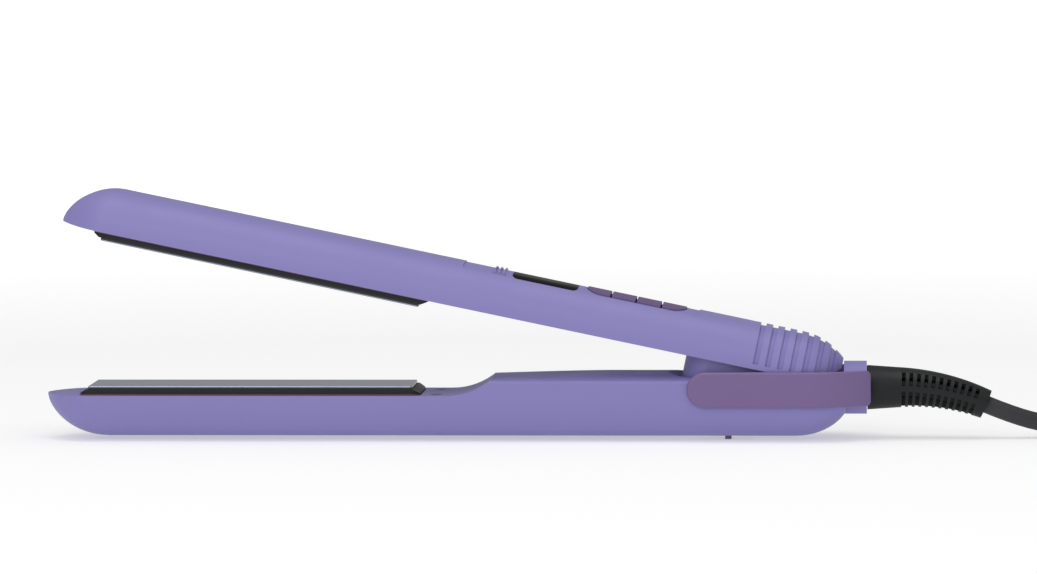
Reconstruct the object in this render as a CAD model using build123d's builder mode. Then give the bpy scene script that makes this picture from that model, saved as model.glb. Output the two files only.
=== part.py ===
"""Hair straightener (flat iron): two arms on a rear hinge, drawn open.

Millimetres. X runs from the nose (-X) to the cord (+X), Z is up, and the arms are symmetric about Y = 0.
The lower arm lies level. The upper arm is drawn closed on it and swung open about the hinge pin at the end.
Z = 0 is the lowest point of the lock slider's nub, midway along the body from nose to trims.
"""

from build123d import *
from math import asin, cos, degrees, hypot, pi, radians, sin, sqrt, tan
import os

os.makedirs("parts", exist_ok=True)

# ---------------------------------------------------------------- driving dimensions: the arms
NOSE_X = -141.2  # tip of both noses
REAR_X = 140.0  # rear edge of the side trims
ARM_HALF_WIDTH = 16.0
SHELL_DEPTH = 14.5  # rim to the flat back of one shell
SIDE_HEIGHT = 1.5  # upright stretch of the side, above the rim
CROWN_FLAT = 4.0  # half width of the flat strip along the back
WALL = 1.8
RABBET = 0.9  # the covers rest in a step this far in from the outside
NUB_DROP = 1.3  # how far the lock nub stands below the lower shell
RIM_TO_PLANE = 3.05  # rim to the plane where the two plates meet
OPEN_ANGLE = 11.9

Z_BACK = NUB_DROP
Z_RIM = Z_BACK + SHELL_DEPTH
Z_MEET = Z_RIM + RIM_TO_PLANE
Z_UPPER_RIM = Z_MEET + RIM_TO_PLANE
Z_CROWN = Z_UPPER_RIM + SHELL_DEPTH

NOSE_PLAN = 15.6  # length of the pointed nose seen from above
NOSE_RISE_LOWER = 22.0  # length of its sweep seen from the side
NOSE_RISE_UPPER = 19.0
TAIL_X = 129.0  # rear end of the upper arm, closed
TAIL_LENGTH = 16.0
TAIL_END_WALL = 7.5  # solid stern behind the hollow
TAIL_WEDGE = (123.0, 127.5, 26.5)  # x at the rim, x and height at the slant's top
STERN_START = 114.4  # where the lower arm starts to round up
STERN_LENGTH = 19.0
STERN_END = 131.5
PLAN_TURN_X = 120.0  # where the sides of the lower arm start to turn in
PLAN_TURN_R = 30.0

# ---------------------------------------------------------------- fits
SLIP = 0.2  # between pieces that only have to go together
RUN = 0.05  # radial clearance of turning fits
PLATE_GAP = 0.3  # round a floating plate carrier
SEAM = 0.1  # covers inside their shells

# ---------------------------------------------------------------- plates
PLATE_LENGTH = 110.4
PLATE_WIDTH = 25.0
PLATE_FRONT_X = -125.7
PLATE_SHOW = 1.1  # height of the plate above its carrier
PLATE_THICK = 2.0
CARRIER_WIDTH = 27.0
CARRIER_END = 2.8  # carrier beyond each end of the plate
CARRIER_CORNER = 2.5
CARRIER_DEPTH = 8.6
CARRIER_WALL = 1.5
FLANGE_END = 1.2
FLANGE_THICK = 1.4
FLANGE_DROP = 0.25  # flange below the cover at rest
FLOAT_TRAVEL = 0.8
PAD_R = 3.0
PAD_SPACING = 44.0
PAD_RIB = 8.0  # length of the cross ribs that stand on the pads
HEATER = (70.0, 12.0, 1.3)
CLIP_THICK = 0.6
GASKET_SHOW = 0.45  # gasket band above the cover
GASKET_BURIED = 0.4
GASKET_THICK = 0.6
PLATE_FIT = 0.05
ROOM_GAP = 0.5  # carrier to shell, measured across the wall
WEB = 1.5  # carrier floor under the plate
END_SLOPE = (2.2, 1.3)  # length and height of the sloped ends of a carrier
BEAD_R = 1.2
BEAD_LENGTH = 4.0
FUSE = (1.6, 10.0, 0.4, 8.0)  # radius, length, wire radius, wire length
CLIP = (30.0, 21.0)
LEAD_R = 0.8
LEAD_Y = 6.2
LEAD_LIFT = 0.9  # clears the rounded inner corners of the shells
LEAD_REAR_X = 116.0
LEAD_BEND_X = -30.0
PLATE_CORNER = 0.6

# ---------------------------------------------------------------- hinge, tongue and slot
HINGE_X = 114.6
HINGE_Z = 20.6
PIN_R = 1.5
EAR_R = 3.0
EAR_ROOM = 0.3
EAR_INNER = 13.3  # inner face of each ear
BUSH_R = 2.6
BUSH_LENGTH = 6.5
BUSH_BOSS_R = 4.4
TONGUE_HALF_WIDTH = 12.5
TONGUE_FRONT_X = 76.6
TONGUE_ROUND = 8.0
TONGUE_BOTTOM = 9.9
TONGUE_WALL = 1.6
TONGUE_REAR = 3.6  # behind the hinge axis
SLOT_FRONT_X = 74.0
SLOT_CHAMFER = 2.9
SLOT_WALL = 1.2
SLOT_SIDE = 0.7  # from the tongue's side to the slot's
MOUND_HEIGHT = 6.9  # mound crown above the lower rim
MOUND_SIDE = 4.3
MOUND_FLAT = 5.0  # half width of the flat on the mound
MOUND_FRONT = 5.2  # height at the top of the ramp
MOUND_FULL_X = 56.6  # the mound reaches its full height here
RAMP_START = -3.3
RAMP_END = 11.4
RAIL_END = 106.5
COVER_THICK = 1.6
RECESS = 2.0  # upper cover inside its rim, over the mound
SCREW_X = -7.0
SCREW_SPACING = 20.0
SCREW_R = 1.1
SCREW_HEAD_R = 1.9
SCREW_HEAD = 1.2
SCREW_SINK = 0.5
SCREW_LENGTH = 8.0
POST_R = 2.6
SPRING_X = 101.0
SPRING_R = 3.9
SPRING_WIRE = 1.0
SPRING_TURNS = 6

# ---------------------------------------------------------------- trims and rear boss
TRIM_FRONT_X = 78.0
TRIM_HEIGHT = 12.1
TRIM_THICK = 1.6
TRIM_Z = 17.95
TRIM_CORNER = 2.0
TRIM_EDGE = 0.8
BOSS_R = 9.0
BOSS_Z = 17.45
BOSS_FRONT_X = 130.9
BOSS_REAR_X = 138.6
BOSS_FRONT_WALL = 1.0
BARREL_R = 5.6
BARREL_FLANGE_R = 7.0
BARREL_FLANGE = 2.0
BARREL_STUB_R = 3.6
BARREL_STUB_X = 127.0
BARREL_SPIGOT_R = 4.0  # goes into the strain relief
BARREL_SPIGOT = 7.4
RING_THICK = 0.5
RING_WIDTH = 1.2
RING_X = (127.5, 129.3)
BRUSH = (1.0, 3.0)
BRUSH_GAP = 0.05
TRIM_FOOT = (84.0, 34.0, 1.1)  # front x, length and height of the pad behind each trim

# ---------------------------------------------------------------- top of the upper arm
PANEL_FRONT_X = -3.3
PANEL_REAR_X = 78.0
PANEL_SINK = 0.35
PANEL_HALF = 9.6
RIDGE_X = 6.8
RIDGE_PITCH = 1.6
RIDGE_OUT = 0.3  # ridges above the crown
RIDGE_BASE = 1.3
RIDGE_LENGTH = 17.0
DISPLAY_X = 13.6
DISPLAY_LENGTH = 22.6
DISPLAY_WIDTH = 18.0
DISPLAY_CORNER = 2.4
LENS_THICK = 0.9
KEYS_X = 39.3
KEY_COUNT = 4
KEY_PITCH = 8.7
KEY_GAP = 0.6
KEY_WIDTH = 16.5
KEY_ROUND = 5.0
KEY_HEIGHT = 4.35  # crown to the keys' undersides
KEY_FLANGE = 0.8
KEY_FLANGE_OUT = 0.7
KEY_FIT = 0.15
BOARD = (8.0, 92.0, 23.0, 1.6)  # front x, length, width, thickness
BOARD_PARTS = [(78.0, 8.0, 14.0, 2.6), (88.0, 5.0, 9.0, 2.0)]  # x, length, width, height
BOARD_BELOW = 3.2  # board top below the keys' undersides at rest
SWITCH = (4.6, 2.0, 1.2, 2.7)  # side, body height, plunger radius, height with plunger
MODULE_EDGE = 1.4  # display module inside the ends of the lens
MODULE_WIDTH = 9.6
MODULE_DROP = 0.15  # module top below the curved lens
RIB_START = 99.3
RIB_PITCH = 4.15
RIB_COUNT = 7
RIB_WIDTH = 2.3
RIB_DEPTH = 0.85
RIB_FOOT = 1.8  # grooves stop this far above the rim

# ---------------------------------------------------------------- lock slider
LOCK_FRONT_X = 83.1
LOCK_RECESS = 16.7
LOCK_PLATE = (13.2, 7.6, 0.9)
LOCK_RECESS_DEPTH = 1.0
LOCK_NUB = (2.1, 6.0)
LOCK_NUB_X = 91.65
LOCK_TRAVEL = 3.0
LOCK_STEM = (3.0, 3.4)
LOCK_KEEPER = (86.4, 95.6, 3.2, 4.4)  # x and z span of the inner plate
LOCK_POST = (90.5, 92.5, 1.7)
LOCK_HEAD = (87.0, 12.6, 13.8, 3.0)  # front x, z span and half width
CATCH_BAR = (83.6, 85.4, 10.6, 11.9)  # x and z span of the bar inside the tongue

# ---------------------------------------------------------------- cord
CORD_R = 3.0
COLLAR_R = 7.55
COLLAR_LENGTH = 11.0
RELIEF_BEND_R = 76.0
RELIEF_BEND = 22.5
RELIEF_R_START = 6.8
RELIEF_R_END = 5.0
RELIEF_RINGS = 11
RELIEF_RING = 1.15
RELIEF_SPINE = 1.0  # half height of the band along each side
RELIEF_ROOF = 0.8  # upper slots end at this share of the radius
RELIEF_WEB = 1.2  # half thickness of the upright web between the slots of both sides
RELIEF_KEEL = 0.92  # the web's lower edge, as a share of the radius
RELIEF_CORE = 3.5
RELIEF_END = 3.0
TIE_THICK = 1.2
TIE_WIDTH = 7.0
TIE_X = 236.0
HANK_FRONT_X = 209.0
HANK_STRAIGHT = 90.0
HANK_FOLD_R = 18.0
HANK_INNER_R = 15.0
HANK_OUTER_R = 27.0
HANK_LAYERS = 3
HANK_EDGE = 2.4
PLUG_Y = 9.0
PLUG_BODY = (26.0, 35.3, 13.7)
PLUG_BOOT = 12.0
PLUG_BOOT_X = 281.0
PLUG_BOOT_R = (4.2, 5.4)
PLUG_NECK = (20.0, 11.0, 8.0)  # width and height at the boot, and length of the taper
PLUG_EDGE = 2.4
PLUG_PIN_R = 2.0
PLUG_PIN_ROOT = 6.0
PLUG_PIN_LENGTH = 19.0
PLUG_PIN_BARE = 9.0
PLUG_PIN_SPACING = 18.6
PLUG_SLEEVE_R = 2.0
PLUG_CORE_R = 1.3

HINGE = Axis((HINGE_X, 0, HINGE_Z), (0, 1, 0))


# ---------------------------------------------------------------- shared shapes
def sweep_up(along, length, full, bluntness):
    """Rises from 0 to full over length, steep at first and level at the end."""
    share = min(max(along / length, 0.0), 1.0)
    return full * (1 - (1 - share) ** 2) ** (1 / bluntness)


def arm_section(x, half_width, depth, up, rim_z):
    """The arm's cross-section: open rim line, upright sides, elliptical shoulders and a flat back."""
    flat = CROWN_FLAT * half_width / ARM_HALF_WIDTH
    side = SIDE_HEIGHT * depth / SHELL_DEPTH
    plane = Plane(origin=(x, 0, rim_z), x_dir=(0, up, 0), z_dir=(1, 0, 0))
    with BuildSketch(plane) as section:
        with BuildLine():
            Line((-half_width, 0), (half_width, 0))
            Line((half_width, 0), (half_width, side))
            EllipticalCenterArc((flat, side), half_width - flat, depth - side, 0, arc_size=90)
            Line((flat, depth), (-flat, depth))
            EllipticalCenterArc((-flat, side), half_width - flat, depth - side, 90, arc_size=90)
            Line((-half_width, side), (-half_width, 0))
        make_face()
    return section.sketch


def arm_hull(up, rim_z, rise, tail, inset=0.0, front=0.0):
    """The solid form of an arm, or of its hollow with an inset: pointed nose, straight body, tail stations."""
    half_width = ARM_HALF_WIDTH - inset
    depth = SHELL_DEPTH - inset
    nose = [0.25, 1.2, 3.0, 5.5, 9.0, 12.5, 16.0, rise]
    body_end = tail[0][0]
    with BuildPart() as hull:
        for t in nose:
            width_here = sweep_up(t, NOSE_PLAN, half_width, 1.4)
            depth_here = sweep_up(t, rise, depth, 1.6)
            add(arm_section(NOSE_X + front + t, width_here, depth_here, up, rim_z))
        loft()
        add(arm_section(NOSE_X + front + rise, half_width, depth, up, rim_z))
        extrude(amount=body_end - NOSE_X - front - rise, dir=(1, 0, 0))
        for x, width_share, depth_share in tail:
            add(arm_section(x, half_width * width_share, depth * depth_share, up, rim_z))
        loft()
    return hull.part


def tongue_outline(z, front_x, half_width, rear_x):
    """The plan outline of the tongue or its slot at height z: an elliptical front and straight sides."""
    round_x = TONGUE_FRONT_X + TONGUE_ROUND
    with BuildSketch(Plane.XY.offset(z)) as outline:
        with BuildLine():
            EllipticalCenterArc((round_x, 0), round_x - front_x, half_width, 90, arc_size=180)
            Polyline(
                (round_x, -half_width),
                (rear_x, -half_width),
                (rear_x, half_width),
                (round_x, half_width),
            )
        make_face()
    return outline.sketch


def tail_stations(end_x, start_x, plan_power, side_power):
    """Stations from start_x to end_x that round the stern of the upper arm in plan and in side view."""
    out = []
    for share in (0.0, 0.25, 0.5, 0.72, 0.88, 0.96, 1.0):
        x = start_x + (end_x - start_x) * share
        width = (1 - (0.93 * share) ** plan_power) ** 0.5
        depth = 1 - 0.41 * share**side_power
        out.append((x, width, depth))
    return out


def stern_stations(inset):
    """Stations of the lower stern: an ellipse in side view and the trims' arc in plan."""
    out = []
    for share in (0.0, 0.3, 0.5, 0.7, 0.85, 1.0):
        x = STERN_START + (STERN_END - STERN_START - inset) * share
        turn = max(x - PLAN_TURN_X, 0.0)
        width = ARM_HALF_WIDTH - (PLAN_TURN_R - sqrt(PLAN_TURN_R**2 - turn**2))
        depth = sqrt(1 - ((x - STERN_START) / STERN_LENGTH) ** 2)
        out.append((x, width / ARM_HALF_WIDTH, depth))
    return out


def cross_bar(radius, length, x, z, y=0.0):
    """A round bar along Y, centred at (x, y, z)."""
    with BuildPart(Plane(origin=(x, y, z), z_dir=(0, 1, 0))) as bar:
        Cylinder(radius, length)
    return bar.part


def long_bar(radius, x0, x1, z, y=0.0):
    """A round bar along X from x0 to x1."""
    with BuildPart(Plane(origin=(x0, y, z), z_dir=(1, 0, 0))) as bar:
        Cylinder(radius, x1 - x0, align=(Align.CENTER, Align.CENTER, Align.MIN))
    return bar.part


def block(x0, x1, y0, y1, z0, z1):
    """A box given by its corners."""
    with BuildPart(Plane(origin=((x0 + x1) / 2, (y0 + y1) / 2, (z0 + z1) / 2))) as box:
        Box(x1 - x0, y1 - y0, z1 - z0)
    return box.part


def upside(part):
    """The same piece turned over for the other arm: mirrored about the plane where the plates meet."""
    return mirror(part, about=Plane.XY.offset(Z_MEET))


def save(piece, name):
    """Labels a finished piece and writes its STEP file."""
    piece.part.label = name
    export_step(piece.part, f"parts/{name}.step")


def save_open(piece, name):
    """Swings a piece of the closed upper arm open about the hinge pin, then saves it."""
    piece.part = piece.part.rotate(HINGE, OPEN_ANGLE)
    save(piece, name)


LOWER_TAIL = stern_stations(0.0)
UPPER_TAIL = tail_stations(TAIL_X, TAIL_X - TAIL_LENGTH, 2.5, 2.3)
UPPER_TAIL_INNER = tail_stations(TAIL_X - WALL, TAIL_X - TAIL_LENGTH, 2.5, 2.3)
NOSE_INSET = 1.4  # the hollow's nose lies this many walls behind the tip
FAR = 200.0

# ---------------------------------------------------------------- lower shell
lower_outer = arm_hull(-1, Z_RIM, NOSE_RISE_LOWER, LOWER_TAIL)
lower_inner = arm_hull(-1, Z_RIM, NOSE_RISE_LOWER, stern_stations(WALL), WALL, NOSE_INSET * WALL)
lower_seat = arm_hull(-1, Z_RIM, NOSE_RISE_LOWER, LOWER_TAIL, RABBET, NOSE_INSET * RABBET)
rabbet_slab = block(-FAR, RAIL_END + SLIP, -FAR, FAR, Z_RIM - COVER_THICK, Z_RIM + 1)
cover_under = Z_RIM - COVER_THICK
ear_outer = ARM_HALF_WIDTH - SEAM
floor_z = Z_BACK + WALL
barrel_bore_x = BOSS_FRONT_X + BOSS_FRONT_WALL + BARREL_FLANGE + SLIP

with BuildPart() as lower_rabbet:
    add(lower_seat)
    add(rabbet_slab, mode=Mode.INTERSECT)

SCREW_SPOTS = [(SCREW_X, -SCREW_SPACING / 2), (SCREW_X, SCREW_SPACING / 2)]


def posts():
    """Two posts that take the cover screws, standing on the back of the shell."""
    with BuildPart() as pair:
        with BuildSketch(Plane.XY.offset(Z_BACK + WALL / 2)):
            with Locations(*SCREW_SPOTS):
                Circle(POST_R)
        extrude(amount=cover_under - Z_BACK - WALL / 2)
        with BuildSketch(Plane.XY.offset(cover_under)):
            with Locations(*SCREW_SPOTS):
                Circle(SCREW_R + RUN)
        extrude(amount=-SCREW_LENGTH, mode=Mode.SUBTRACT)
        add(lower_outer, mode=Mode.INTERSECT)
    return pair.part


screw_posts = posts()

with BuildPart() as brush_holder:
    add(block(BARREL_STUB_X, BOSS_FRONT_X + 1, -BRUSH[1], BRUSH[1], floor_z, BOSS_Z - 7))
    add(lower_outer, mode=Mode.INTERSECT)

with BuildPart() as lower_shell:
    add(lower_outer)
    add(lower_inner, mode=Mode.SUBTRACT)
    add(lower_rabbet.part, mode=Mode.SUBTRACT)
    add(screw_posts)
    # hinge ears, rounded over the pin
    for side in (-1, 1):
        with BuildSketch(Plane.XZ.offset(-side * EAR_INNER)):
            with Locations((HINGE_X, HINGE_Z)):
                Circle(EAR_R)
            with Locations((HINGE_X, (HINGE_Z + cover_under - 2) / 2)):
                Rectangle(2 * EAR_R, HINGE_Z - cover_under + 2)
        extrude(amount=-side * (ear_outer - EAR_INNER))
    # round rear boss, and the holder that the brushes stand on
    add(long_bar(BOSS_R, BOSS_FRONT_X, BOSS_REAR_X, BOSS_Z))
    add(brush_holder.part)
    room_half = BRUSH[1] / 2 + SLIP
    brush_room = block(BARREL_STUB_X, BOSS_FRONT_X, -room_half, room_half, BOSS_Z - 7, BOSS_Z)
    add(brush_room, mode=Mode.SUBTRACT)
    stub_hole = BARREL_STUB_R + RING_THICK + 2 * SLIP
    add(long_bar(stub_hole, BARREL_STUB_X, BOSS_REAR_X, BOSS_Z), mode=Mode.SUBTRACT)
    flange_room = BARREL_FLANGE_R + SLIP
    flange_x = BOSS_FRONT_X + BOSS_FRONT_WALL
    add(long_bar(flange_room, flange_x, barrel_bore_x, BOSS_Z), mode=Mode.SUBTRACT)
    add(long_bar(BARREL_R + RUN, flange_x, BOSS_REAR_X + 1, BOSS_Z), mode=Mode.SUBTRACT)
    pin_hole = cross_bar(PIN_R + RUN / 2, 2 * ARM_HALF_WIDTH + 4, HINGE_X, HINGE_Z)
    add(pin_hole, mode=Mode.SUBTRACT)
    # lock recess, and the slot that the lock's stem runs in
    half = LOCK_PLATE[1] / 2 + SLIP
    recess_top = Z_BACK + LOCK_RECESS_DEPTH
    recess = block(LOCK_FRONT_X, LOCK_FRONT_X + LOCK_RECESS, -half, half, 0, recess_top)
    add(recess, mode=Mode.SUBTRACT)
    stem_front = LOCK_NUB_X - LOCK_STEM[0] / 2 - LOCK_TRAVEL - SLIP
    stem_rear = LOCK_NUB_X + LOCK_STEM[0] / 2 + SLIP
    half = LOCK_STEM[1] / 2 + SLIP
    add(block(stem_front, stem_rear, -half, half, 0, floor_z + 1), mode=Mode.SUBTRACT)
save(lower_shell, "lower_shell")


# ---------------------------------------------------------------- lower inner cover
def mound(inset, foot_z):
    """The handle's raised back: a side profile with a concave ramp, cut to a crowned section."""
    top = Z_RIM + MOUND_HEIGHT - inset
    front_top = Z_RIM + MOUND_FRONT - inset
    ramp_z = Z_RIM - inset
    with BuildPart() as body:
        with BuildSketch(Plane.XZ):
            with BuildLine():
                ramp = TangentArc(
                    (RAMP_START + 1.5 * inset, ramp_z),
                    (RAMP_END + inset, front_top),
                    tangent=(1, 0),
                )
                Polyline(
                    ramp @ 1,
                    (MOUND_FULL_X, top),
                    (RAIL_END, top),
                    (RAIL_END, foot_z),
                    (RAMP_START + 1.5 * inset, foot_z),
                    ramp @ 0,
                )
            make_face()
        extrude(amount=ARM_HALF_WIDTH + 1, both=True)
        width = ARM_HALF_WIDTH - inset * WALL / COVER_THICK
        shoulder = Z_RIM + MOUND_SIDE - inset
        with BuildSketch(Plane(origin=(0, 0, 0), x_dir=(0, 1, 0), z_dir=(1, 0, 0))):
            with BuildLine():
                Polyline((-width, shoulder), (-width, foot_z), (width, foot_z), (width, shoulder))
                crown = top - shoulder
                EllipticalCenterArc((MOUND_FLAT, shoulder), width - MOUND_FLAT, crown, 0, arc_size=90)
                Line((MOUND_FLAT, top), (-MOUND_FLAT, top))
                EllipticalCenterArc(
                    (-MOUND_FLAT, shoulder), width - MOUND_FLAT, crown, 90, arc_size=90
                )
            make_face()
        extrude(amount=FAR, both=True, mode=Mode.INTERSECT)
    return body.part


carrier_front = PLATE_FRONT_X - CARRIER_END
carrier_rear = PLATE_FRONT_X + PLATE_LENGTH + CARRIER_END
slot_half = TONGUE_HALF_WIDTH + SLOT_SIDE


def screw_holes(depth, head_depth):
    """Clearance holes with flat-bottomed head recesses, cut down from the lower rim."""
    with BuildPart() as holes:
        with BuildSketch(Plane.XY.offset(Z_RIM)):
            with Locations(*SCREW_SPOTS):
                Circle(SCREW_R + SLIP)
        extrude(amount=-depth)
        with BuildSketch(Plane.XY.offset(Z_RIM)):
            with Locations(*SCREW_SPOTS):
                Circle(SCREW_HEAD_R + SLIP / 2)
        extrude(amount=-head_depth)
    return holes.part


plate_middle = (carrier_front + carrier_rear) / 2
carrier_length = carrier_rear - carrier_front


def plan_block(length, width, corner, z0, z1):
    """A slab with rounded corners, centred under the heating plate."""
    with BuildPart() as slab:
        with BuildSketch(Plane.XY.offset(z0)):
            with Locations((plate_middle, 0)):
                RectangleRounded(length, width, corner)
        extrude(amount=z1 - z0)
    return slab.part


carrier_opening = plan_block(
    carrier_length + 2 * PLATE_GAP,
    CARRIER_WIDTH + 2 * PLATE_GAP,
    CARRIER_CORNER + PLATE_GAP,
    cover_under - 1,
    Z_RIM + 1,
)
cover_outline = arm_hull(
    -1, Z_RIM, NOSE_RISE_LOWER, LOWER_TAIL, RABBET + SEAM, NOSE_INSET * RABBET + SEAM
)
slot_top = Z_RIM + MOUND_HEIGHT
with BuildPart() as slot_wall:
    add(
        tongue_outline(
            cover_under, SLOT_FRONT_X - SLOT_WALL, slot_half + SLOT_WALL, RAIL_END
        )
    )
    extrude(amount=MOUND_HEIGHT + COVER_THICK)
    add(mound(0.0, cover_under), mode=Mode.INTERSECT)
with BuildPart() as slot_cut:
    add(tongue_outline(cover_under - 1, SLOT_FRONT_X, slot_half, RAIL_END + 1))
    extrude(amount=MOUND_HEIGHT + COVER_THICK + 2)
    add(tongue_outline(slot_top - SLOT_CHAMFER, SLOT_FRONT_X, slot_half, RAIL_END + 1))
    extrude(amount=SLOT_CHAMFER + 0.5, taper=-45)

with BuildPart() as lower_inner_cover:
    add(cover_outline)
    add(block(-FAR, RAIL_END, -FAR, FAR, cover_under, Z_RIM), mode=Mode.INTERSECT)
    add(mound(0.0, Z_RIM))
    add(mound(COVER_THICK, cover_under - 1), mode=Mode.SUBTRACT)
    add(slot_wall.part)
    add(slot_cut.part, mode=Mode.SUBTRACT)
    add(carrier_opening, mode=Mode.SUBTRACT)
    add(screw_holes(COVER_THICK + 1, SCREW_HEAD * 0.8), mode=Mode.SUBTRACT)
save(lower_inner_cover, "lower_inner_cover")


# ---------------------------------------------------------------- cover screws
def screws():
    """Two pan-head screws with cross recesses, heads sunk in the lower cover."""
    head_top = Z_RIM - SCREW_HEAD * 0.8 + SCREW_HEAD * 0.7
    head_seat = Z_RIM - SCREW_HEAD * 0.8
    with BuildPart() as pair:
        for y in (-SCREW_SPACING / 2, SCREW_SPACING / 2):
            with BuildSketch(Plane.XY.offset(head_seat)):
                with Locations((SCREW_X, y)):
                    Circle(SCREW_HEAD_R)
            extrude(amount=head_top - head_seat)
            with BuildSketch(Plane.XY.offset(head_seat)):
                with Locations((SCREW_X, y)):
                    Circle(SCREW_R)
            extrude(amount=-SCREW_LENGTH + SCREW_HEAD)
            with BuildSketch(Plane.XY.offset(head_top)):
                with Locations((SCREW_X, y)):
                    Rectangle(2.2, 0.5)
                    Rectangle(0.5, 2.2)
            extrude(amount=-SCREW_SINK, mode=Mode.SUBTRACT)
    return pair.part


with BuildPart() as lower_cover_screws:
    add(screws())
save(lower_cover_screws, "lower_cover_screws")

# ---------------------------------------------------------------- hinge pin and spring
with BuildPart() as hinge_pin:
    add(cross_bar(PIN_R, 2 * ARM_HALF_WIDTH, HINGE_X, HINGE_Z))
save(hinge_pin, "hinge_pin")

opened = radians(OPEN_ANGLE)
recess_z = Z_UPPER_RIM + RECESS
spring_far = HINGE_X - SPRING_X - SPRING_R - SPRING_WIRE
seat_rise = spring_far * sin(opened) + (recess_z - HINGE_Z) * cos(opened)
spring_height = HINGE_Z + seat_rise - floor_z - SPRING_WIRE - SLIP
with BuildPart() as hinge_spring:
    with BuildLine():
        coil = Helix(
            spring_height / SPRING_TURNS,
            spring_height,
            SPRING_R,
            center=(SPRING_X, 0, floor_z + SPRING_WIRE / 2 + SLIP / 2),
        )
    with BuildSketch(Plane(origin=coil @ 0, z_dir=coil % 0)):
        Circle(SPRING_WIRE / 2)
    sweep(is_frenet=True)
save(hinge_spring, "hinge_spring")


# ---------------------------------------------------------------- side trims
def trim(side):
    """A flat band along the side that turns in behind the arms and ends beside the boss."""
    inner = ARM_HALF_WIDTH + SLIP
    outer = inner + TRIM_THICK
    centre_y = ARM_HALF_WIDTH - PLAN_TURN_R
    turn = REAR_X - PLAN_TURN_X
    inner_r = inner - centre_y
    outer_r = outer - centre_y
    with BuildPart() as band:
        with BuildSketch(Plane.XY.offset(TRIM_Z - TRIM_HEIGHT / 2)):
            with BuildLine():
                inner_end = degrees(asin(turn / inner_r))
                outer_end = degrees(asin(turn / outer_r))
                bend_in = CenterArc((PLAN_TURN_X, centre_y), inner_r, 90, -inner_end)
                bend_out = CenterArc((PLAN_TURN_X, centre_y), outer_r, 90, -outer_end)
                Line(bend_in @ 1, bend_out @ 1)
                Polyline(bend_in @ 0, (TRIM_FRONT_X, inner), (TRIM_FRONT_X, outer), bend_out @ 0)
            make_face()
        extrude(amount=TRIM_HEIGHT)
        with BuildSketch(Plane.XZ):
            radius = TRIM_HEIGHT / 2
            with Locations(((TRIM_FRONT_X + REAR_X) / 2 + radius / 2, TRIM_Z)):
                Rectangle(REAR_X - TRIM_FRONT_X - radius, TRIM_HEIGHT)
            rear = REAR_X - TRIM_CORNER - 0.5
            fillet([v for v in vertices() if v.X > rear], TRIM_CORNER)
            with Locations((TRIM_FRONT_X + radius, TRIM_Z)):
                Circle(radius)
        extrude(amount=FAR, both=True, mode=Mode.INTERSECT)
        rim = []
        for edge in band.edges():
            spots = [edge @ 0, edge @ 0.5, edge @ 1]
            straight = all(abs(spot.Y - outer) < 0.01 for spot in spots)
            reach = [hypot(spot.X - PLAN_TURN_X, spot.Y - centre_y) for spot in spots]
            if straight or all(abs(r - outer_r) < 0.01 for r in reach):
                rim.append(edge)
        fillet(rim, TRIM_EDGE)
        foot_x, foot_length, foot_height = TRIM_FOOT
        foot = block(
            foot_x,
            foot_x + foot_length,
            ARM_HALF_WIDTH,
            inner + TRIM_THICK / 2,
            Z_RIM - SLIP - foot_height,
            Z_RIM - SLIP,
        )
        add(foot)
    return band.part if side > 0 else mirror(band.part, about=Plane.XZ)


with BuildPart() as left_trim:
    add(trim(-1))
save(left_trim, "left_trim")
with BuildPart() as right_trim:
    add(trim(1))
save(right_trim, "right_trim")

# ---------------------------------------------------------------- brushes and lower leads
blade_top = BOSS_Z - BARREL_STUB_R - RING_THICK - BRUSH_GAP
with BuildPart() as brush_contacts:
    for ring_x in RING_X:
        middle = ring_x + RING_WIDTH / 2
        half = BRUSH[0] / 2
        half_y = BRUSH[1] / 2
        add(block(middle - half, middle + half, -half_y, half_y, BOSS_Z - 7, blade_top))
save(brush_contacts, "brush_contacts")


def lead(points, radius):
    """A round wire along a polyline whose corners are rounded."""
    with BuildPart() as wire:
        with BuildLine() as route:
            FilletPolyline(*points, radius=3.0)
        with BuildSketch(Plane(origin=route.line @ 0, z_dir=route.line % 0)):
            Circle(radius)
        sweep(path=route.line)
    return wire.part


lead_z = floor_z + LEAD_R + LEAD_LIFT
with BuildPart() as lower_leads:
    for y in (-LEAD_Y, LEAD_Y):
        run = [(LEAD_REAR_X, y, lead_z), (LEAD_BEND_X, y, lead_z), (LEAD_BEND_X - 6, y, lead_z + 6)]
        add(lead(run, LEAD_R))
save(lower_leads, "lower_leads")

# ---------------------------------------------------------------- floating heating plates
carrier_top = Z_MEET - PLATE_SHOW
carrier_bottom = carrier_top - CARRIER_DEPTH
plate_bottom = Z_MEET - PLATE_THICK
web_bottom = plate_bottom - WEB
gasket_top = Z_RIM + GASKET_SHOW
gasket_bottom = Z_RIM - GASKET_BURIED
foot_top = cover_under + FLOAT_TRAVEL + SLIP
flange_top = cover_under - FLANGE_DROP

room = arm_hull(
    -1, Z_RIM, NOSE_RISE_LOWER, LOWER_TAIL, WALL + ROOM_GAP, NOSE_INSET * WALL + 2 * ROOM_GAP
)
room = room.translate((0, 0, FLOAT_TRAVEL + SLIP))

with BuildPart() as carrier_foot:
    add(plan_block(carrier_length, CARRIER_WIDTH, CARRIER_CORNER, carrier_bottom, foot_top))
    flange_length = carrier_length + 2 * FLANGE_END
    flange_bottom = flange_top - FLANGE_THICK
    add(plan_block(flange_length, CARRIER_WIDTH, CARRIER_CORNER, flange_bottom, flange_top))
    add(room, mode=Mode.INTERSECT)

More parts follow.
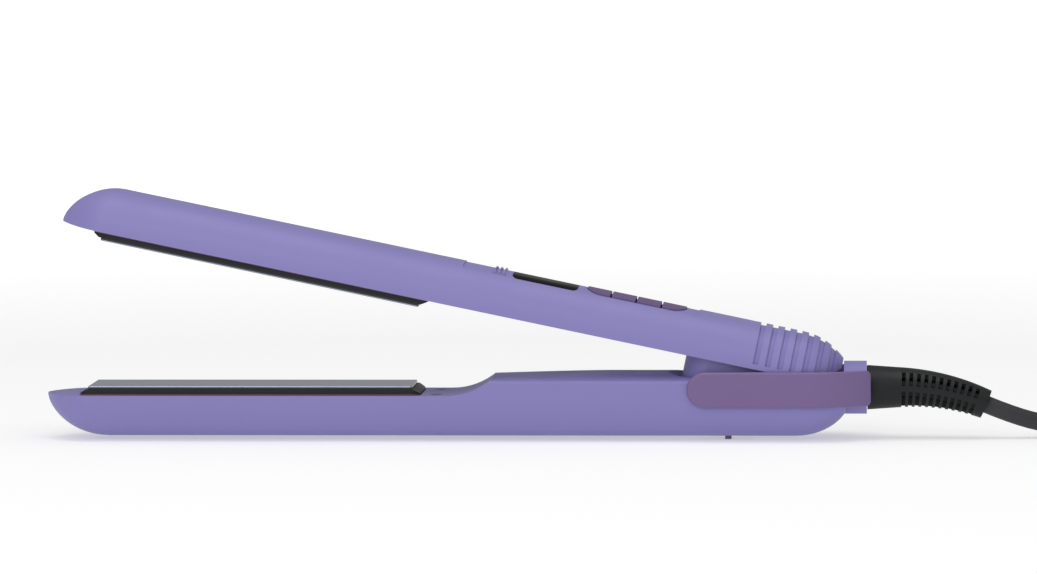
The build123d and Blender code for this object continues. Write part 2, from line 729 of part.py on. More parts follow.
with BuildPart() as lower_base_gasket:
    add(plan_block(carrier_length, CARRIER_WIDTH, CARRIER_CORNER, gasket_bottom, gasket_top))
    inner_length = carrier_length - 2 * GASKET_THICK
    inner_width = CARRIER_WIDTH - 2 * GASKET_THICK
    inner_corner = CARRIER_CORNER - GASKET_THICK
    band_core = plan_block(inner_length, inner_width, inner_corner, gasket_bottom, gasket_top)
    add(band_core, mode=Mode.SUBTRACT)
save(lower_base_gasket, "lower_base_gasket")

with BuildPart() as lower_plate_carrier:
    add(carrier_foot.part)
    add(plan_block(carrier_length, CARRIER_WIDTH, CARRIER_CORNER, foot_top, carrier_top))
    with BuildSketch(Plane.XZ):
        slope_length, slope_height = END_SLOPE
        low = carrier_top - slope_height
        for end_x, way in ((carrier_front, 1), (carrier_rear, -1)):
            Polygon(
                (end_x, low),
                (end_x + way * slope_length, carrier_top),
                (end_x + way * slope_length, carrier_top + 1),
                (end_x - way, carrier_top + 1),
                (end_x - way, low),
                align=None,
            )
    extrude(amount=FAR, both=True, mode=Mode.SUBTRACT)
    # pocket for the plate, and the hollow underneath with two cross ribs left standing
    pocket = (PLATE_LENGTH + 2 * PLATE_FIT, PLATE_WIDTH + 2 * PLATE_FIT, PLATE_CORNER)
    add(plan_block(*pocket, plate_bottom, carrier_top), mode=Mode.SUBTRACT)
    inside = (carrier_length - 2 * CARRIER_WALL - 6, CARRIER_WIDTH - 2 * CARRIER_WALL - 2)
    with BuildSketch(Plane.XY.offset(carrier_bottom)):
        with Locations((plate_middle, 0)):
            RectangleRounded(*inside, 1.0)
            for x in (-PAD_SPACING / 2, PAD_SPACING / 2):
                with Locations((x, 0)):
                    Rectangle(PAD_RIB, CARRIER_WIDTH, mode=Mode.SUBTRACT)
    extrude(amount=web_bottom - carrier_bottom, mode=Mode.SUBTRACT)
    heater_room = (HEATER[0] + 2 * SLIP, HEATER[1] + 2 * SLIP, 1.0)
    add(plan_block(*heater_room, web_bottom - 2, plate_bottom), mode=Mode.SUBTRACT)
    add(lower_base_gasket.part, mode=Mode.SUBTRACT)
save(lower_plate_carrier, "lower_plate_carrier")

with BuildPart() as lower_heating_plate:
    add(plan_block(PLATE_LENGTH, PLATE_WIDTH, PLATE_CORNER, plate_bottom, Z_MEET))
    fillet(lower_heating_plate.faces().sort_by(Axis.Z)[-1].edges(), 0.3)
save(lower_heating_plate, "lower_heating_plate")

heater_bottom = plate_bottom - HEATER[2]
with BuildPart() as lower_heater:
    add(plan_block(HEATER[0], HEATER[1], 0.5, heater_bottom, plate_bottom))
save(lower_heater, "lower_heater")

with BuildPart() as lower_heater_clip:
    pad = (CLIP[0], HEATER[1] - 1, 0.5)
    add(plan_block(*pad, heater_bottom - CLIP_THICK, heater_bottom))
    add(plan_block(CLIP[0], CLIP[1], 1.0, web_bottom - CLIP_THICK, web_bottom))
save(lower_heater_clip, "lower_heater_clip")

sensor_z = web_bottom - CLIP_THICK - FUSE[0]
with BuildPart() as lower_thermal_fuse:
    x0 = plate_middle - FUSE[1] / 2
    add(long_bar(FUSE[0], x0, x0 + FUSE[1], sensor_z))
    add(long_bar(FUSE[2], x0 - FUSE[3], x0 + FUSE[1] + FUSE[3], sensor_z))
save(lower_thermal_fuse, "lower_thermal_fuse")

with BuildPart() as lower_float_pads:
    for x in (-PAD_SPACING / 2, PAD_SPACING / 2):
        with BuildSketch(Plane.XY.offset(floor_z)):
            with Locations((plate_middle + x, 0)):
                Circle(PAD_R)
        extrude(amount=carrier_bottom - floor_z)
save(lower_float_pads, "lower_float_pads")


# ---------------------------------------------------------------- upper plate, the lower one turned over
def save_turned(piece, name):
    """Turns a lower piece over for the upper arm, swings it open and saves it."""
    with BuildPart() as turned:
        add(upside(piece.part))
    save_open(turned, name)


save_turned(lower_plate_carrier, "upper_plate_carrier")
save_turned(lower_heating_plate, "upper_heating_plate")
save_turned(lower_base_gasket, "upper_base_gasket")
save_turned(lower_heater, "upper_heater")
save_turned(lower_heater_clip, "upper_heater_clip")
save_turned(lower_float_pads, "upper_float_pads")
save_turned(lower_cover_screws, "upper_cover_screws")

bead_z = web_bottom - CLIP_THICK - BEAD_R
with BuildPart() as bead:
    x0 = plate_middle - BEAD_LENGTH / 2
    add(long_bar(BEAD_R, x0, x0 + BEAD_LENGTH, bead_z))
    for y in (-0.6, 0.6):
        add(long_bar(0.3, x0 + BEAD_LENGTH - 1, x0 + BEAD_LENGTH + 9, bead_z, y))
save_turned(bead, "upper_thermistor")

# ---------------------------------------------------------------- upper shell
upper_outer = arm_hull(1, Z_UPPER_RIM, NOSE_RISE_UPPER, UPPER_TAIL)
upper_inner = arm_hull(
    1, Z_UPPER_RIM, NOSE_RISE_UPPER, UPPER_TAIL_INNER, WALL, NOSE_INSET * WALL
)
upper_seat = arm_hull(
    1, Z_UPPER_RIM, NOSE_RISE_UPPER, UPPER_TAIL, RABBET, NOSE_INSET * RABBET
)
rib_hull = arm_hull(1, Z_UPPER_RIM, NOSE_RISE_UPPER, UPPER_TAIL, RIB_DEPTH)
panel_hull = arm_hull(1, Z_UPPER_RIM, NOSE_RISE_UPPER, UPPER_TAIL, PANEL_SINK)
lens_floor = arm_hull(1, Z_UPPER_RIM, NOSE_RISE_UPPER, UPPER_TAIL, PANEL_SINK + LENS_THICK)
ridge_hull = arm_hull(1, Z_UPPER_RIM, NOSE_RISE_UPPER, UPPER_TAIL, -RIDGE_OUT)
cover_low = Z_UPPER_RIM + COVER_THICK
cover_high = recess_z + COVER_THICK
panel_z = Z_CROWN - PANEL_SINK
cover_rear = TAIL_X - TAIL_END_WALL

with BuildPart() as upper_hollow:
    add(upper_inner)
    add(block(-FAR, cover_rear, -FAR, FAR, 0, FAR), mode=Mode.INTERSECT)

with BuildPart() as upper_rabbet:
    add(block(-FAR, PANEL_FRONT_X, -FAR, FAR, Z_UPPER_RIM - 1, cover_low))
    add(block(PANEL_FRONT_X - COVER_THICK, cover_rear, -FAR, FAR, Z_UPPER_RIM - 1, cover_high))
    add(upper_seat, mode=Mode.INTERSECT)

with BuildPart() as tail_grooves:
    for i in range(RIB_COUNT):
        x0 = RIB_START + i * RIB_PITCH
        add(block(x0, x0 + RIB_PITCH - RIB_WIDTH, -FAR, FAR, Z_UPPER_RIM + RIB_FOOT, FAR))
    add(rib_hull, mode=Mode.SUBTRACT)

display_middle = DISPLAY_X + DISPLAY_LENGTH / 2
keys_length = KEY_COUNT * KEY_PITCH - KEY_GAP
keys_middle = KEYS_X + keys_length / 2

panel_low = Z_CROWN - 4
with BuildPart() as panel_cut:
    add(block(PANEL_FRONT_X, PANEL_REAR_X, -PANEL_HALF, PANEL_HALF, panel_low, FAR))
    add(panel_hull, mode=Mode.SUBTRACT)

with BuildPart() as lens_recess:
    with BuildSketch(Plane.XY.offset(panel_low)):
        with Locations((display_middle, 0)):
            RectangleRounded(
                DISPLAY_LENGTH + SLIP / 2, DISPLAY_WIDTH + SLIP / 2, DISPLAY_CORNER
            )
    extrude(amount=FAR)
    add(lens_floor, mode=Mode.SUBTRACT)

with BuildPart() as ridges:
    for i in range(3):
        with BuildSketch(Plane.XZ):
            x0 = RIDGE_X + i * RIDGE_PITCH
            Polygon(
                (x0, Z_CROWN - 1.6),
                (x0 + RIDGE_BASE * 0.35, Z_CROWN + RIDGE_OUT),
                (x0 + RIDGE_BASE * 0.65, Z_CROWN + RIDGE_OUT),
                (x0 + RIDGE_BASE, Z_CROWN - 1.6),
                align=None,
            )
        extrude(amount=RIDGE_LENGTH / 2, both=True)
    add(ridge_hull, mode=Mode.INTERSECT)

with BuildPart() as upper_shell:
    add(upper_outer)
    add(upper_hollow.part, mode=Mode.SUBTRACT)
    add(upside(screw_posts))
    add(upper_rabbet.part, mode=Mode.SUBTRACT)
    # rear end cut up from the rim at a slant, and room for the hinge ears
    with BuildSketch(Plane.XZ):
        Polygon(
            (TAIL_WEDGE[0], Z_UPPER_RIM),
            (TAIL_WEDGE[1], TAIL_WEDGE[2]),
            (TAIL_X + 5, TAIL_WEDGE[2] + 4),
            (TAIL_X + 5, Z_UPPER_RIM - 5),
            (TAIL_WEDGE[0], Z_UPPER_RIM - 5),
            align=None,
        )
    extrude(amount=FAR, both=True, mode=Mode.SUBTRACT)
    add(cross_bar(EAR_R + EAR_ROOM, FAR, HINGE_X, HINGE_Z), mode=Mode.SUBTRACT)
    # control panel: sunk strip, display recess and window, one opening for the row of keys
    add(panel_cut.part, mode=Mode.SUBTRACT)
    add(lens_recess.part, mode=Mode.SUBTRACT)
    with BuildSketch(Plane.XY.offset(panel_z)):
        with Locations((display_middle, 0)):
            RectangleRounded(
                DISPLAY_LENGTH - 2 * MODULE_EDGE + 2 * SLIP,
                MODULE_WIDTH + 2 * SLIP,
                DISPLAY_CORNER / 2,
            )
        with Locations((keys_middle, 0)):
            RectangleRounded(keys_length + 2 * KEY_FIT, KEY_WIDTH + 2 * KEY_FIT, KEY_ROUND)
    extrude(amount=-6, mode=Mode.SUBTRACT)
    add(ridges.part)
with BuildPart() as grooved:
    add(tail_grooves.part)
    add(upper_outer, mode=Mode.INTERSECT)
upper_shell.part = upper_shell.part - grooved.part
save_open(upper_shell, "upper_shell")

# ---------------------------------------------------------------- upper inner cover with the tongue
upper_outline = arm_hull(
    1, Z_UPPER_RIM, NOSE_RISE_UPPER, UPPER_TAIL, RABBET + SEAM, NOSE_INSET * RABBET + SEAM
)
tongue_rear = HINGE_X + TONGUE_REAR
tongue_inside = TONGUE_HALF_WIDTH - TONGUE_WALL
board_x0 = BOARD[0]
board_x1 = BOARD[0] + BOARD[1]
key_under = Z_CROWN - KEY_HEIGHT
board_top = key_under - BOARD_BELOW
board_bottom = board_top - BOARD[3]

with BuildPart() as cover_slabs:
    step_x = PANEL_FRONT_X - COVER_THICK + SEAM
    add(block(-FAR, PANEL_FRONT_X - SEAM, -FAR, FAR, Z_UPPER_RIM, cover_low))
    add(block(step_x, PANEL_FRONT_X - SEAM, -FAR, FAR, Z_UPPER_RIM, cover_high))
    add(block(step_x, cover_rear - SLIP, -FAR, FAR, recess_z, cover_high))
    add(upper_outline, mode=Mode.INTERSECT)

with BuildPart() as tongue_hollow:
    front = TONGUE_FRONT_X + TONGUE_WALL
    add(tongue_outline(TONGUE_BOTTOM - 1, front, tongue_inside, tongue_rear - TONGUE_WALL))
    extrude(amount=recess_z - TONGUE_BOTTOM + 1)

with BuildPart() as upper_inner_cover:
    add(cover_slabs.part)
    add(tongue_outline(TONGUE_BOTTOM, TONGUE_FRONT_X, TONGUE_HALF_WIDTH, tongue_rear))
    extrude(amount=recess_z - TONGUE_BOTTOM + COVER_THICK / 2)
    add(tongue_hollow.part, mode=Mode.SUBTRACT)
    # bosses for the bushes, and the bar that the lock hooks over
    for side in (-1, 1):
        middle = side * (TONGUE_HALF_WIDTH - BUSH_LENGTH / 2)
        add(cross_bar(BUSH_BOSS_R, BUSH_LENGTH, HINGE_X, HINGE_Z, middle))
    bar_x0, bar_x1, bar_z0, bar_z1 = CATCH_BAR
    add(block(bar_x0, bar_x1, -tongue_inside - 0.2, tongue_inside + 0.2, bar_z0, bar_z1))
    add(cross_bar(BUSH_R, FAR, HINGE_X, HINGE_Z), mode=Mode.SUBTRACT)
    add(upside(carrier_opening), mode=Mode.SUBTRACT)
    add(upside(screw_holes(COVER_THICK + 1, SCREW_HEAD * 0.8)), mode=Mode.SUBTRACT)
    for x in (board_x0 + 4, board_x1 - 4):
        for y in (-9, 9):
            with BuildSketch(Plane.XY.offset(cover_high - 0.5)):
                with Locations((x, y)):
                    Circle(1.8)
            extrude(amount=board_bottom - cover_high + 0.5)
save_open(upper_inner_cover, "upper_inner_cover")

with BuildPart() as hinge_bushes:
    for side in (-1, 1):
        middle = side * (TONGUE_HALF_WIDTH - BUSH_LENGTH / 2)
        add(cross_bar(BUSH_R, BUSH_LENGTH, HINGE_X, HINGE_Z, middle))
    add(cross_bar(PIN_R + RUN, FAR, HINGE_X, HINGE_Z), mode=Mode.SUBTRACT)
save_open(hinge_bushes, "hinge_bushes")

# ---------------------------------------------------------------- display, board, switches and keys
with BuildPart() as display_lens:
    with BuildSketch(Plane.XY.offset(panel_low)):
        with Locations((display_middle, 0)):
            RectangleRounded(DISPLAY_LENGTH, DISPLAY_WIDTH, DISPLAY_CORNER)
    extrude(amount=FAR)
    add(panel_hull, mode=Mode.INTERSECT)
    add(lens_floor, mode=Mode.SUBTRACT)
save_open(display_lens, "display_lens")

with BuildPart() as display_module:
    with BuildSketch(Plane.XY.offset(board_top)):
        with Locations((display_middle, 0)):
            RectangleRounded(DISPLAY_LENGTH - 2 * MODULE_EDGE, MODULE_WIDTH, DISPLAY_CORNER / 2)
    extrude(amount=panel_z - LENS_THICK - MODULE_DROP - board_top)
save_open(display_module, "display_module")

with BuildPart() as control_board:
    add(block(board_x0, board_x1, -BOARD[2] / 2, BOARD[2] / 2, board_bottom, board_top))
    for x, length, width, height in BOARD_PARTS:
        add(block(x, x + length, -width / 2, width / 2, board_top - 0.2, board_top + height))
save_open(control_board, "control_board")

with BuildPart() as key_switches:
    for i in range(KEY_COUNT):
        x = KEYS_X + i * KEY_PITCH + (KEY_PITCH - KEY_GAP) / 2
        with BuildSketch(Plane.XY.offset(board_top)):
            with Locations((x, 0)):
                Rectangle(SWITCH[0], SWITCH[0])
        extrude(amount=SWITCH[1])
        with BuildSketch(Plane.XY.offset(board_top)):
            with Locations((x, 0)):
                Circle(SWITCH[2])
        extrude(amount=SWITCH[3])
save_open(key_switches, "key_switches")

upper_lead_z = 2 * Z_MEET - lead_z
with BuildPart() as upper_leads:
    for y in (-LEAD_Y, LEAD_Y):
        run = [
            (board_x0 - 1, y, board_bottom + LEAD_R),
            (board_x0 - 6, y, upper_lead_z),
            (LEAD_BEND_X, y, upper_lead_z),
            (LEAD_BEND_X - 6, y, upper_lead_z - 6),
        ]
        add(lead(run, LEAD_R))
save_open(upper_leads, "upper_leads")


def key(index):
    """One key of the row: cut from the row's rounded outline, with a flange under the panel."""
    x0 = KEYS_X + index * KEY_PITCH
    x1 = x0 + KEY_PITCH - KEY_GAP
    with BuildPart() as cap:
        with BuildSketch(Plane.XY.offset(key_under)):
            with Locations((keys_middle, 0)):
                RectangleRounded(keys_length, KEY_WIDTH, KEY_ROUND)
        extrude(amount=FAR)
        add(upper_outer, mode=Mode.INTERSECT)
        with BuildSketch(Plane.XY.offset(key_under)):
            with Locations((keys_middle, 0)):
                Rectangle(keys_length, KEY_WIDTH + 2 * KEY_FLANGE_OUT)
        extrude(amount=KEY_FLANGE)
        add(block(x0, x1, -FAR, FAR, 0, FAR), mode=Mode.INTERSECT)
    return cap.part


for index, name in enumerate(("power_key", "minus_key", "plus_key", "mode_key")):
    with BuildPart() as cap:
        add(key(index))
    save_open(cap, name)

# ---------------------------------------------------------------- lock slider
with BuildPart() as lock_slider:
    rear = LOCK_FRONT_X + LOCK_RECESS - SLIP
    half = LOCK_PLATE[1] / 2
    plate_z = Z_BACK + RUN
    add(block(rear - LOCK_PLATE[0], rear, -half, half, plate_z, plate_z + LOCK_PLATE[2]))
    x0 = LOCK_NUB_X - LOCK_NUB[0] / 2
    add(block(x0, x0 + LOCK_NUB[0], -LOCK_NUB[1] / 2, LOCK_NUB[1] / 2, 0, plate_z + 0.2))
    x0 = LOCK_NUB_X - LOCK_STEM[0] / 2
    keeper_x0, keeper_x1, keeper_z0, keeper_z1 = LOCK_KEEPER
    half = LOCK_STEM[1] / 2
    add(block(x0, x0 + LOCK_STEM[0], -half, half, plate_z + 0.5, keeper_z0 + 0.5))
    half = LOCK_PLATE[1] / 2
    add(block(keeper_x0, keeper_x1, -half, half, keeper_z0, keeper_z1))
    head_x, head_z0, head_z1, head_half = LOCK_HEAD
    add(block(LOCK_POST[0], LOCK_POST[1], -LOCK_POST[2], LOCK_POST[2], keeper_z0, head_z1))
    add(block(head_x, LOCK_POST[1], -head_half, head_half, head_z0, head_z1))
save(lock_slider, "lock_slider")

# ---------------------------------------------------------------- turning cord head and strain relief
collar_x = BOSS_REAR_X + SLIP
flange_front = BOSS_FRONT_X + BOSS_FRONT_WALL + SLIP / 2
with BuildPart() as swivel_barrel:
    add(long_bar(BARREL_STUB_R, BARREL_STUB_X + SLIP, flange_front + 1, BOSS_Z))
    add(long_bar(BARREL_FLANGE_R, flange_front, flange_front + BARREL_FLANGE, BOSS_Z))
    add(long_bar(BARREL_R, flange_front, collar_x, BOSS_Z))
    add(long_bar(BARREL_SPIGOT_R, flange_front, collar_x + BARREL_SPIGOT, BOSS_Z))
save(swivel_barrel, "swivel_barrel")

with BuildPart() as slip_rings:
    for x in RING_X:
        add(long_bar(BARREL_STUB_R + RING_THICK, x, x + RING_WIDTH, BOSS_Z))
    add(long_bar(BARREL_STUB_R, 0, FAR, BOSS_Z), mode=Mode.SUBTRACT)
save(slip_rings, "slip_rings")


def relief_plane(share):
    """The plane across the strain relief at a share of its bend, local X along the cord."""
    turn = radians(RELIEF_BEND * share)
    x = collar_x + COLLAR_LENGTH + RELIEF_BEND_R * sin(turn)
    z = BOSS_Z - RELIEF_BEND_R * (1 - cos(turn))
    return Plane(origin=(x, 0, z), x_dir=(0, 1, 0), z_dir=(cos(turn), 0, -sin(turn)))


def relief_loft(radius_start, radius_end):
    """A round taper along the bend."""
    with BuildPart() as taper:
        for step in range(7):
            share = step / 6
            with BuildSketch(relief_plane(share)):
                Circle(radius_start + (radius_end - radius_start) * share)
        loft()
    return taper.part


bend_length = radians(RELIEF_BEND) * RELIEF_BEND_R
ring_pitch = (bend_length - RELIEF_END) / RELIEF_RINGS
with BuildPart() as strain_relief:
    with BuildSketch(Plane(origin=(collar_x, 0, BOSS_Z), z_dir=(1, 0, 0))):
        Circle(COLLAR_R)
    with BuildSketch(Plane(origin=(collar_x + COLLAR_LENGTH, 0, BOSS_Z), z_dir=(1, 0, 0))):
        Circle(RELIEF_R_START)
    loft()
    add(relief_loft(RELIEF_R_START, RELIEF_R_END))
    for i in range(RELIEF_RINGS):
        share = (i + 0.5) * ring_pitch / bend_length
        radius = RELIEF_R_START + (RELIEF_R_END - RELIEF_R_START) * share
        roof = RELIEF_ROOF * radius
        aside = RELIEF_WEB + FAR / 2
        with BuildSketch(relief_plane(share)):
            with Locations((0, -RELIEF_KEEL * radius - FAR / 2)):
                Rectangle(FAR, FAR)
            for side in (-1, 1):
                with Locations((side * aside, -RELIEF_SPINE - FAR / 2)):
                    Rectangle(FAR, FAR)
                with Locations((side * aside, (RELIEF_SPINE + roof) / 2)):
                    Rectangle(FAR, roof - RELIEF_SPINE)
        extrude(amount=(ring_pitch - RELIEF_RING) / 2, both=True, mode=Mode.SUBTRACT)
    add(relief_loft(RELIEF_CORE, RELIEF_CORE))
    spigot_hole = long_bar(BARREL_SPIGOT_R, 0, collar_x + BARREL_SPIGOT, BOSS_Z)
    add(spigot_hole, mode=Mode.SUBTRACT)
save(strain_relief, "strain_relief")


# ---------------------------------------------------------------- cord
def cord(points, name):
    """A cord run through route points whose corners are rounded; prints its bend radii."""
    radii = []
    for before, here, after in zip(points, points[1:], points[2:]):
        first = Vector(*here) - Vector(*before)
        second = Vector(*after) - Vector(*here)
        half_turn = first.get_angle(second) / 2
        shorter = min(first.length, second.length)
        radii.append(0.45 * shorter / tan(radians(half_turn)))
    print(name, "bend radii", [round(r, 1) for r in radii])
    with BuildPart() as tube:
        with BuildLine() as route:
            FilletPolyline(*points, radius=radii)
        with BuildSketch(Plane(origin=route.line @ 0, z_dir=route.line % 0)):
            Circle(CORD_R)
        sweep(path=route.line)
    run = sum(edge.length for edge in route.line.edges())
    print(name, "volume", round(tube.part.volume), "length x section", round(run * pi * CORD_R**2))
    return tube.part


relief_out = relief_plane(1.0)
out_x = relief_out.origin.X
out_z = relief_out.origin.Z
out_cos = cos(radians(RELIEF_BEND))
out_sin = sin(radians(RELIEF_BEND))
fold_x = HANK_FRONT_X + HANK_OUTER_R
hank_top = 2 * CORD_R * HANK_LAYERS
TUBE_ROUTE = [
    (out_x, 0, out_z),
    (out_x + 14.6 * out_cos, 0, out_z - 14.6 * out_sin),
    (out_x + 27.5, 5.1, CORD_R + 1.0),
    (fold_x - 16.4, 17.5, CORD_R),
]
with BuildPart() as cord_tube:
    add(cord(TUBE_ROUTE, "cord_tube"))
save(cord_tube, "cord_tube")

plug_z = hank_top + PLUG_BODY[2] / 2
tail_rise = (plug_z - (hank_top - CORD_R)) / (HANK_FOLD_R - PLUG_Y)
TAIL_STEPS = [(12.0, 0.0), (11.1, 3.39), (9.6, 6.49), (11.1, 3.39), (12.0, 0.0)]
tail_x = PLUG_BOOT_X - sum(step[0] for step in TAIL_STEPS)
tail_span = sum(step[1] for step in TAIL_STEPS)
TAIL_ROUTE = [(tail_x, HANK_FOLD_R, hank_top - CORD_R)]
for ahead, across in TAIL_STEPS:
    x, y, z = TAIL_ROUTE[-1]
    share = across / tail_span * (HANK_FOLD_R - PLUG_Y)
    TAIL_ROUTE.append((x + ahead, y - share, z + share * tail_rise))
with BuildPart() as cord_tail:
    add(cord(TAIL_ROUTE, "cord_tail"))
save(cord_tail, "cord_tail")

hank_middle = fold_x + HANK_STRAIGHT / 2
with BuildPart() as cord_hank:
    with BuildSketch():
        with Locations((hank_middle, 0)):
            SlotCenterToCenter(HANK_STRAIGHT, 2 * HANK_OUTER_R)
            SlotCenterToCenter(HANK_STRAIGHT, 2 * HANK_INNER_R, mode=Mode.SUBTRACT)
    extrude(amount=hank_top)
    fillet(cord_hank.faces().filter_by(Axis.Z).edges(), HANK_EDGE)
    half = TIE_WIDTH / 2
    add(block(TIE_X - half, TIE_X + half, -FAR, FAR, 0, TIE_THICK), mode=Mode.SUBTRACT)
save(cord_hank, "cord_hank")

with BuildPart() as tie_hole:
    half = TIE_WIDTH / 2
    wide = HANK_OUTER_R
    add(block(TIE_X - half, TIE_X + half, -wide, wide, TIE_THICK, hank_top))
    fillet(tie_hole.edges().filter_by(Axis.X).group_by(Axis.Z)[-1], HANK_EDGE)

with BuildPart() as hank_tie:
    wide = HANK_OUTER_R + TIE_THICK
    add(block(TIE_X - half, TIE_X + half, -wide, wide, 0, hank_top + TIE_THICK))
    fillet(hank_tie.edges().filter_by(Axis.X), HANK_EDGE + TIE_THICK)
    add(tie_hole.part, mode=Mode.SUBTRACT)
save(hank_tie, "hank_tie")

# ---------------------------------------------------------------- plug
body_x = PLUG_BOOT_X + PLUG_BOOT
face_x = body_x + PLUG_BODY[0]
pin_ys = [PLUG_Y - PLUG_PIN_SPACING / 2, PLUG_Y + PLUG_PIN_SPACING / 2]


def across_plug(x):
    """The plane across the plug at x, local X to the side."""
    return Plane(origin=(x, PLUG_Y, plug_z), x_dir=(0, 1, 0), z_dir=(1, 0, 0))


with BuildPart() as plug_body:
    with BuildSketch(across_plug(PLUG_BOOT_X)):
        Circle(PLUG_BOOT_R[0])
    with BuildSketch(across_plug(body_x)):
        Circle(PLUG_BOOT_R[1])
    loft()
    with BuildSketch(across_plug(body_x)):
        RectangleRounded(PLUG_NECK[0], PLUG_NECK[1], PLUG_EDGE)
    with BuildSketch(across_plug(body_x + PLUG_NECK[2])):
        RectangleRounded(PLUG_BODY[1], PLUG_BODY[2], PLUG_EDGE)
    loft()
    with BuildSketch(across_plug(body_x + PLUG_NECK[2])):
        RectangleRounded(PLUG_BODY[1], PLUG_BODY[2], PLUG_EDGE)
    extrude(amount=PLUG_BODY[0] - PLUG_NECK[2])
    for y in pin_ys:
        hole = long_bar(PLUG_CORE_R, face_x - PLUG_PIN_ROOT, face_x + 1, plug_z, y)
        add(hole, mode=Mode.SUBTRACT)
save(plug_body, "plug_body")

sleeve_end = face_x + PLUG_PIN_LENGTH - PLUG_PIN_BARE
with BuildPart() as plug_pins:
    for y in pin_ys:
        add(long_bar(PLUG_CORE_R, face_x - PLUG_PIN_ROOT, sleeve_end + 1, plug_z, y))
        add(long_bar(PLUG_PIN_R, sleeve_end, face_x + PLUG_PIN_LENGTH, plug_z, y))
    tips = plug_pins.faces().sort_by(Axis.X)[-2:]
    fillet([edge for face in tips for edge in face.edges()], 0.8)
save(plug_pins, "plug_pins")

with BuildPart() as plug_pin_sleeves:
    for y in pin_ys:
        add(long_bar(PLUG_SLEEVE_R, face_x, sleeve_end, plug_z, y))
        add(long_bar(PLUG_CORE_R, face_x, sleeve_end, plug_z, y), mode=Mode.SUBTRACT)
save(plug_pin_sleeves, "plug_pin_sleeves")
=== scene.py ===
# %% [markdown]
# # A hair straightener
#
# The frame below is the engineering model: every node is a real piece in metres, sitting where it belongs.
# This lesson lights it, gives each piece its finish, and adds the cord, which is soft and so isn't left as
# CAD.

# %% Load the frame
import bpy
import numpy as np
from math import cos, radians, sin
from mathutils import Matrix, Vector


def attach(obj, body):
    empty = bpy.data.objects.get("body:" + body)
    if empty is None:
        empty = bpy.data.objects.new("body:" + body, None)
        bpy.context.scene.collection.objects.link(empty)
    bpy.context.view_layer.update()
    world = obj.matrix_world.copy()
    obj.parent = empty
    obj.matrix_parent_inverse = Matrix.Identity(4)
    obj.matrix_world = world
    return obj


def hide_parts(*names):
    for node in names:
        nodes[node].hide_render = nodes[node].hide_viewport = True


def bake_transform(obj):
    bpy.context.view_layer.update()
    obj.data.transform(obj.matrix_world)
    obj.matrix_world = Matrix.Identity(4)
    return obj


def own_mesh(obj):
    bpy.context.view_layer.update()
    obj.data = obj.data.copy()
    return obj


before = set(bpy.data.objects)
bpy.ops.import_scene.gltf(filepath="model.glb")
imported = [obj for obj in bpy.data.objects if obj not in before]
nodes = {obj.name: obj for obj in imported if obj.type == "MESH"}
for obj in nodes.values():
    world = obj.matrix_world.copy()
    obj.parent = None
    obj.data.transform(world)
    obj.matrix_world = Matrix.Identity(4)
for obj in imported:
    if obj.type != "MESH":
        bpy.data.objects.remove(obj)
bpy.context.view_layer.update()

# %% [markdown]
# ## Camera
#
# A long lens from far away keeps the two arms in their true proportions. The camera stands almost square to
# the side, a little towards the cord end and a little above the table. Seen like that the lower arm seems
# to slope, so a small roll of the camera levels it.

# %% Place the camera
CAMERA_TURN, CAMERA_RISE, CAMERA_ROLL = radians(3.67), radians(4.2), radians(-0.31)
CAMERA_DISTANCE, CAMERA_LENS, SENSOR = 1.88, 191.9, 36.0
aim = Vector((0.0204, 0.0, 0.0516))
towards = Vector(
    (sin(CAMERA_TURN) * cos(CAMERA_RISE), -cos(CAMERA_TURN) * cos(CAMERA_RISE), sin(CAMERA_RISE))
)
lens = bpy.data.cameras.new("camera")
lens.lens, lens.sensor_width, lens.clip_end = CAMERA_LENS, SENSOR, 20.0
camera = bpy.data.objects.new("camera", lens)
camera.location = aim + towards * CAMERA_DISTANCE
facing = (-towards).to_track_quat("-Z", "Y").to_matrix()
camera.rotation_euler = (facing @ Matrix.Rotation(CAMERA_ROLL, 3, "Z")).to_euler()
bpy.context.scene.collection.objects.link(camera)
bpy.context.scene.camera = camera
bpy.context.scene.view_settings.view_transform = "Standard"
print("camera at", [round(x, 3) for x in camera.location])

# %% [markdown]
# ## The cord's line
#
# The mains cord leaves the ribbed strain relief, comes down to the table, and the rest of it is folded into
# a hank: five turns side by side and on top of each other, with the plug lying on them. One smooth NURBS
# line carries all of it. Its control points are the corners that the curve rounds, so a half circle of
# radius r takes six points spread at r / cos 15 degrees, which touch the circle between them.

# %% Lay out one fold and one straight run
CORD_D = 0.006
FRONT_X, REAR_X = 0.236, 0.326
COLUMNS = {"outer": 0.024, "inner": 0.018}
LAYERS = [0.003, 0.009, 0.015]


def fold(centre_x, radius, z, start_angle):
    """Six corner points half way round: angles start, start - 30 ... in degrees, at radius / cos 15."""
    angles = np.radians(start_angle - 30.0 * np.arange(6))
    reach = radius / cos(radians(15))
    ring = np.stack([centre_x + reach * np.cos(angles), reach * np.sin(angles), np.full(6, z)], 1)
    return ring.tolist()


def shifting_run(here, there, x_start, x_end):
    """The return run: straight, then over to the next turn's place between two x values."""
    (r0, z0), (r1, z1) = here, there
    run = []
    if REAR_X - x_start > 0.02:
        run.append([(REAR_X + x_start) / 2, -r0, z0])
    run.append([x_start, -r0, z0])
    run.append([x_end, -r1, z1])
    if x_end - FRONT_X > 0.02:
        run.append([(FRONT_X + x_end) / 2, -r1, z1])
    return run


# %% Join every turn into one route
TUBE = [
    [0.178884, 0, 0.011665],
    [0.192373, 0, 0.006078],
    [0.206384, 0.0051, 0.004],
    [0.2196, 0.0175, 0.003],
]
TURNS = 5
